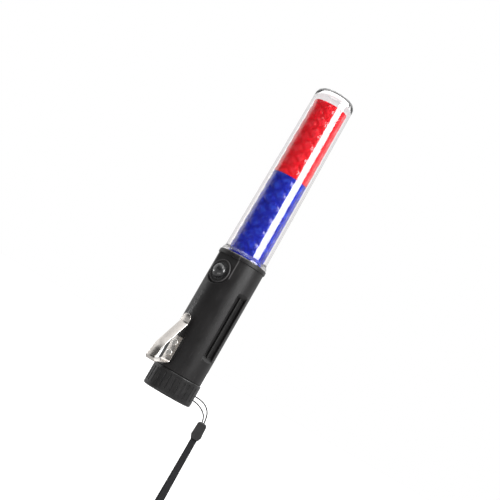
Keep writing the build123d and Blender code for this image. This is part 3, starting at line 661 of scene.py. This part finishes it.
def painted_edge_highlights(look):
    """Painted highlights: 1 along the edges of the button's flat, less round the bezel and the recesses, and
    0 elsewhere.
    """
    across = look.size_of(look.axis("X"))
    out = look.size_of(look.axis("Y"))
    front = look.span(look.axis("Y"), *FLAT_Y, 1, 0)
    high = look.span(look.axis("Z"), FLAT_BOTTOM_Z, FLAT_BOTTOM_Z + 1, 0, 1)
    # Painted highlight along the edges of the flat
    flat = look.product(look.near(across, FLAT_HALF_WIDTH, EDGE_HIGHLIGHT_WIDTH), look.product(front, high))
    # Painted highlight along the rims of the finger recesses
    outer = look.span(across, *RECESS_RIM_X, 0, 1)
    length = look.near(look.axis("Z"), RECESS_MIDDLE_Z, 2 * RECESS_HALF_LENGTH)
    inside = look.span(length, 0.5, 0.52, 0, 1)
    recess = look.product(look.near(out, RECESS_HALF_WIDTH, RECESS_HIGHLIGHT_WIDTH), look.product(outer, inside))
    edges = look.math("MAXIMUM", flat, look.product(recess, RECESS_HIGHLIGHT))
    # Painted highlight round the bezel's ring
    from_button = look.node("ShaderNodeVectorMath", operation="LENGTH")
    look.link(look.stretched(look.place, (1, 0, 1), (0, 0, -BUTTON_Z)), from_button.inputs[0])
    ring = look.product(look.near(from_button.outputs["Value"], BEZEL_R, EDGE_HIGHLIGHT_WIDTH), front)
    return look.math("MAXIMUM", edges, look.product(ring, BEZEL_HIGHLIGHT))


def handle_plastic():
    """Satin black plastic with paler scuffs, a painted highlight mixed with patchy wear along the collar's
    rim, and painted highlights along its other edges.
    """
    look = Look("handle_plastic")
    look.set(Specular_IOR_Level=0.26)
    height = look.axis("Z")
    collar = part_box("handle_shell")[1][2] / MM
    patches = look.span(look.noise(2.2, 4.0), 0.45, 0.62)
    # A painted highlight mixed with wear along the collar's rim, broken into patches
    worn = look.product(look.near(height, collar - COLLAR_RIM, COLLAR_HIGHLIGHT_AND_WEAR_WIDTH), patches)
    dark, pale = (0.0040, 0.0037, 0.0038), (0.0072, 0.0066, 0.0068)
    base = look.ramp(look.noise(14.0, 5.0), [(0.3, dark), (0.7, pale)])
    scuffs = look.span(look.noise(1.2, 5.0, (1, 1, 0.12)), 0.62, 0.74)
    dusty = look.mixed(look.product(scuffs, 0.22), base, (0.06, 0.058, 0.058))
    # Paler where the painted highlights lie and where the collar's rim is worn
    highlight_and_wear = look.math("MAXIMUM", look.product(worn, COLLAR_HIGHLIGHT_AND_WEAR), painted_edge_highlights(look))
    coloured = look.mixed(look.product(highlight_and_wear, 0.8), dusty, (0.09, 0.087, 0.088))
    look.link(coloured, look.shader.inputs["Base Color"])
    look.rough(look.noise(5.0, 4.0, (1, 1, 0.4)), 0.36, 0.47)
    look.raise_by(look.noise(30.0, 1.0), 0.10)
    look.raise_by(look.noise(0.45, 2.0), 0.010)
    return look


def cap_plastic():
    """The end cap's plastic, a little glossier, with pale wear along its lower rim."""
    look = Look("cap_plastic")
    dark, pale = (0.006, 0.0058, 0.006), (0.0105, 0.010, 0.0103)
    base = look.ramp(look.noise(8.0, 5.0), [(0.3, dark), (0.7, pale)])
    look.set(Specular_IOR_Level=0.32)
    rim = look.near(look.axis("Z"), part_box("end_cap")[0][2] / MM + CAP_RIM, CAP_WEAR_WIDTH)
    worn = look.product(rim, look.span(look.noise(1.5, 4.0), 0.4, 0.65))
    coloured = look.mixed(look.product(worn, 0.4), base, (0.08, 0.078, 0.078))
    look.link(coloured, look.shader.inputs["Base Color"])
    look.rough(look.noise(3.0, 3.0), 0.27, 0.4)
    look.raise_by(look.noise(0.4, 2.0), 0.009)
    return look


def button_rubber():
    """Smooth dark silicone with a soft sheen and a little dust."""
    look = Look("button_rubber")
    look.colours(look.noise(2.5, 5.0), [(0.35, (0.008, 0.008, 0.0085)), (0.7, (0.016, 0.016, 0.017))])
    look.rough(look.noise(1.6, 4.0), 0.22, 0.34)
    look.set(Coat_Weight=0.25, Coat_Roughness=0.12)
    look.raise_by(look.noise(0.5, 2.0), 0.006)
    return look


def clear_plastic():
    """Polished clear plastic with faint waviness and hairline marks."""
    look = Look("clear_plastic")
    look.set(Transmission_Weight=1.0, IOR=1.45, Base_Color=(0.935, 0.915, 0.92, 1))
    hairlines = look.span(look.noise(0.5, 5.0, (1, 1, 0.06)), 0.6, 0.72, 0.012, 0.055)
    look.link(hairlines, look.shader.inputs["Roughness"])
    look.raise_by(look.noise(14.0, 1.0, (1, 1, 0.35)), 0.035)
    return look


def film(name, dark, bright, crown_highlight):
    """Tinted prismatic film: mottled, with a painted highlight on the diamonds' crowns, painted shade in the
    grooves, and fine ribs pressed round it.
    """
    look = Look(name)
    mottled = look.ramp(look.noise(3.4, 4.0), [(0.3, dark), (0.68, bright)])
    raised = look.node("ShaderNodeAttribute", attribute_name="raised").outputs["Fac"]
    # Painted highlight on the diamonds' crowns, in patches
    painted_crown_highlights = look.product(look.span(raised, 0.55, 1.0), look.span(look.noise(5.0, 2.0), 0.35, 0.65))
    # Painted shade in the grooves between the diamonds
    painted_groove_shade = look.span(raised, 0.0, 0.35, 0.16, 0.0)
    crown_highlighted = look.mixed(look.product(painted_crown_highlights, 0.4), mottled, crown_highlight)
    look.link(look.mixed(painted_groove_shade, crown_highlighted, shade(dark, 0.6)), look.shader.inputs["Base Color"])
    look.rough(look.noise(2.0, 3.0), 0.15, 0.27)
    look.set(Specular_IOR_Level=0.5)
    look.raise_by(look.noise(1.6, 2.0), 0.02)
    look.raise_by(look.wave(0.55, "Z"), 0.008)
    return look


def polished_nickel(name, tint, roughness):
    """Nickel-plated steel with fine drawn marks along it and a few cloudy patches."""
    look = Look(name)
    look.set(Metallic=1.0)
    clouds = look.noise(3.5, 5.0)
    look.colours(clouds, [(0.3, shade(tint, 0.86)), (0.65, tint)])
    look.rough(look.noise(0.16, 4.0, (1, 1, 0.04)), roughness, roughness + 0.13)
    look.raise_by(look.noise(0.14, 3.0, (1, 1, 0.03)), 0.0012)
    return look


def plain_metal(name, tint, roughness):
    """Stamped or drawn metal with a light tarnish."""
    look = Look(name)
    look.set(Metallic=1.0)
    look.colours(look.noise(2.0, 5.0), [(0.3, shade(tint, 0.72)), (0.7, tint)])
    look.rough(look.noise(0.8, 4.0), roughness, roughness + 0.2)
    look.raise_by(look.noise(0.25, 3.0), 0.004)
    return look


def woven(name, colour, fleck):
    """Dark nylon yarn: fine filaments with a dull sheen, paler where they stand up."""
    look = Look(name)
    filaments = look.noise(0.12, 4.0, (1, 1, 0.35))
    look.colours(filaments, [(0.32, shade(colour, 0.6)), (0.55, colour), (0.78, fleck)])
    look.rough(look.noise(0.6, 2.0), 0.55, 0.78)
    look.set(Specular_IOR_Level=0.15, Sheen_Weight=0.04, Sheen_Roughness=0.4)
    look.raise_by(filaments, 0.03)
    return look


def solder_mask():
    """A green circuit board with paler tracks."""
    look = Look("solder_mask")
    tracks = look.span(look.wave(2.6, "X", 1.5), 0.62, 0.7)
    base = look.ramp(look.noise(5.0, 3.0), [(0.3, (0.010, 0.10, 0.035)), (0.7, (0.016, 0.15, 0.055))])
    look.link(look.mixed(tracks, base, (0.03, 0.24, 0.09)), look.shader.inputs["Base Color"])
    look.rough(look.noise(1.0, 3.0), 0.2, 0.35)
    look.raise_by(tracks, 0.02)
    return look


def led_package():
    """A pale package with yellowish patches of phosphor."""
    look = Look("led_package")
    look.colours(look.noise(1.2, 3.0), [(0.35, (0.75, 0.72, 0.55)), (0.65, (0.85, 0.84, 0.78))])
    look.rough(look.noise(0.8, 3.0), 0.15, 0.3)
    look.raise_by(look.noise(0.3, 2.0), 0.006)
    return look


def vinyl(name, colour):
    """Wire insulation or a printed wrap: smooth, with slight scuffs."""
    look = Look(name)
    look.colours(look.noise(1.4, 4.0), [(0.3, shade(colour, 0.8)), (0.7, shade(colour, 1.15))])
    look.rough(look.noise(1.0, 3.0), 0.3, 0.45)
    look.raise_by(look.noise(0.35, 2.0), 0.005)
    return look


def dress(braid, webbing, red_film, blue_film, clip):
    """Gives every piece and every CAD node its material."""
    handle_plastic().give("handle_shell", "button_bezel")
    cap_plastic().give("end_cap")
    button_rubber().give("push_button")
    clear_plastic().give("lamp_tube")
    # The third colour of each film is its painted highlight on the diamonds' crowns
    film("red_film", (0.80, 0.004, 0.012), (0.95, 0.007, 0.020), (1.0, 0.06, 0.085)).give(red_film)
    film("blue_film", (0.006, 0.010, 0.36), (0.012, 0.030, 0.56), (0.045, 0.13, 0.80)).give(blue_film)
    polished_nickel("clip_nickel", (0.62, 0.585, 0.55), 0.13).give(clip)
    polished_nickel("rivet_nickel", (0.62, 0.60, 0.57), 0.22).give("clip_rivets")
    woven("cord_yarn", (0.004, 0.004, 0.0042), (0.014, 0.014, 0.014)).give(braid)
    woven("web_yarn", (0.0095, 0.0095, 0.0105), (0.03, 0.03, 0.031)).give(webbing)
    moulded("crimp_plastic", (0.0075, 0.0072, 0.0075), 0.38).give("strap_crimp")
    moulded("seal_rubber", (0.018, 0.018, 0.018), 0.6, 0.5, 0.02).give("lamp_gasket", "cap_gasket")
    moulded("grey_plastic", (0.15, 0.15, 0.16), 0.42).give("lamp_base", "bulkhead", "battery_carrier")
    moulded("white_plastic", (0.74, 0.735, 0.71), 0.36).give("sleeve_cap")
    moulded("black_epoxy", (0.016, 0.016, 0.018), 0.45, 0.2, 0.01).give(
        "led_resistors", "switch_case", "switch_plunger", "control_chip"
    )
    solder_mask().give("led_board", "control_board")
    led_package().give("red_leds", "blue_leds")
    plain_metal("brass", (0.72, 0.50, 0.20), 0.24).give(
        "front_contact", "cell_plates", "return_strip", "tail_contact"
    )
    plain_metal("spring_wire", (0.60, 0.59, 0.57), 0.2).give("cell_springs", "tail_spring")
    plain_metal("zinc_plate", (0.64, 0.65, 0.64), 0.28).give("base_screws", "board_screws", "lanyard_pin")
    vinyl("cell_wrap", (0.03, 0.12, 0.08)).give("batteries")
    vinyl("red_vinyl", (0.5, 0.02, 0.02)).give("led_wires")
    vinyl("black_vinyl", (0.02, 0.02, 0.02)).give("power_wires")


# Studio


def make_floor():
    """A plain pale matte floor, which throws back less light than it shows."""
    half = FLOOR_SIZE / 2
    corners = [(-half, -half, FLOOR_Z), (half, -half, FLOOR_Z), (half, half, FLOOR_Z), (-half, half, FLOOR_Z)]
    floor = mesh_piece("floor", corners, [(0, 1, 2, 3)], smooth=False)
    look = Look("floor_paint")
    paint = look.ramp(look.noise(60.0, 3.0), [(0.3, (0.88, 0.88, 0.88)), (0.7, (0.92, 0.92, 0.92))])
    seen = look.node("ShaderNodeLightPath").outputs["Is Camera Ray"]
    bounce = (FLOOR_BOUNCE, FLOOR_BOUNCE, FLOOR_BOUNCE)
    look.link(look.mixed(seen, bounce, paint), look.shader.inputs["Base Color"])
    look.set(Roughness=0.9, Specular_IOR_Level=0.1)
    look.give(floor)


def area_lamp(name, around, away, z, size, radiance, aim_z=None):
    """A soft panel that faces the baton's axis, level or at aim_z, and isn't seen directly.

    around is its azimuth in degrees from the camera's, positive to the right.
    """
    data = bpy.data.lights.new(name, "AREA")
    data.shape = "RECTANGLE"
    data.size, data.size_y = size
    data.energy = radiance * math.pi * size[0] * size[1]
    lamp = bpy.data.objects.new(name, data)
    bpy.context.collection.objects.link(lamp)
    turn = CAMERA_AZIMUTH + math.radians(around)
    place = Vector((away * math.sin(turn), -away * math.cos(turn), z))
    aim = Vector((0, 0, z if aim_z is None else aim_z))
    facing = (place - aim).to_track_quat("Z", "Y").to_matrix().to_4x4()
    lamp.matrix_world = Matrix.Translation(place) @ facing
    lamp.visible_camera = False


def make_lamps():
    """The key, whose reflection is the long highlight on the tube, and weaker panels round the baton."""
    area_lamp("key_strip", around=50, away=0.62, z=0.31, size=(0.41, 0.38), radiance=16)
    area_lamp("left_panel", around=-107, away=0.75, z=0.14, size=(0.5, 0.5), radiance=1.0)
    area_lamp("right_panel", around=101, away=0.75, z=0.14, size=(0.7, 0.5), radiance=0.45)
    area_lamp("top_front", around=-15, away=0.5, z=0.65, size=(0.4, 0.3), radiance=5.0, aim_z=0.08)
    area_lamp("under_fill", around=-25, away=0.30, z=-0.15, size=(0.36, 0.10), radiance=3.0, aim_z=0.05)
    area_lamp("button_glint", around=-106, away=0.22, z=0.006, size=(0.02, 0.02), radiance=32, aim_z=0.046)


def joined(tree, operation, first, second):
    """The result of a math node on two sources."""
    worked = tree.nodes.new("ShaderNodeMath")
    worked.operation = operation
    tree.links.new(first, worked.inputs[0])
    tree.links.new(second, worked.inputs[1])
    return worked.outputs["Value"]


def soft_step(tree, source, span, levels):
    """A smooth rise from the first level to the second as the source goes through the span."""
    ranged = tree.nodes.new("ShaderNodeMapRange")
    ranged.interpolation_type = "SMOOTHSTEP"
    for key, value in zip(("From Min", "From Max", "To Min", "To Max"), (*span, *levels)):
        ranged.inputs[key].default_value = value
    tree.links.new(source, ranged.inputs["Value"])
    return ranged.outputs["Result"]


def make_world():
    """White where it is seen straight or through the clear tube.

    As a source of light it is bright overhead, weaker behind the baton and dim at the sides.
    """
    world = bpy.data.worlds.new("studio")
    bpy.context.scene.world = world
    world.use_nodes = True
    tree = world.node_tree
    tree.nodes.clear()
    coordinates = tree.nodes.new("ShaderNodeTexCoord")
    split = tree.nodes.new("ShaderNodeSeparateXYZ")
    tree.links.new(coordinates.outputs["Generated"], split.inputs[0])
    overhead = soft_step(tree, split.outputs["Z"], SKY_HEIGHTS, SKY_LEVELS)
    backdrop = tree.nodes.new("ShaderNodeVectorMath")
    backdrop.operation = "DOT_PRODUCT"
    tree.links.new(coordinates.outputs["Generated"], backdrop.inputs[0])
    backdrop.inputs[1].default_value = (-math.sin(CAMERA_AZIMUTH), math.cos(CAMERA_AZIMUTH), 0)
    behind = soft_step(tree, backdrop.outputs["Value"], BACKDROP_SPREAD, BACKDROP_LEVELS)
    dim = tree.nodes.new("ShaderNodeBackground")
    tree.links.new(joined(tree, "ADD", overhead, behind), dim.inputs["Strength"])
    white = tree.nodes.new("ShaderNodeBackground")
    for background in (dim, white):
        background.inputs["Color"].default_value = (1, 1, 1, 1)
    white.inputs["Strength"].default_value = 1.0
    rays = tree.nodes.new("ShaderNodeLightPath")
    straight = joined(tree, "MAXIMUM", rays.outputs["Is Camera Ray"], rays.outputs["Is Transmission Ray"])
    bounced = joined(tree, "ADD", rays.outputs["Diffuse Depth"], rays.outputs["Glossy Depth"])
    seen = joined(tree, "GREATER_THAN", straight, bounced)
    choice = tree.nodes.new("ShaderNodeMixShader")
    tree.links.new(seen, choice.inputs["Fac"])
    tree.links.new(dim.outputs["Background"], choice.inputs[1])
    tree.links.new(white.outputs["Background"], choice.inputs[2])
    output = tree.nodes.new("ShaderNodeOutputWorld")
    tree.links.new(choice.outputs["Shader"], output.inputs["Surface"])
    bpy.context.scene.view_settings.view_transform = "Standard"


make_camera()
braid_piece = make_lanyard()
webbing_piece = make_wrist_strap()
red_piece = make_film("red_film", "red_sleeve")
blue_piece = make_film("blue_film", "blue_sleeve")
clip_piece, clip_ends = make_clip()
dress(braid_piece, webbing_piece, red_piece, blue_piece, clip_piece)
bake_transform(clip_piece)
make_floor()
make_lamps()
make_world()
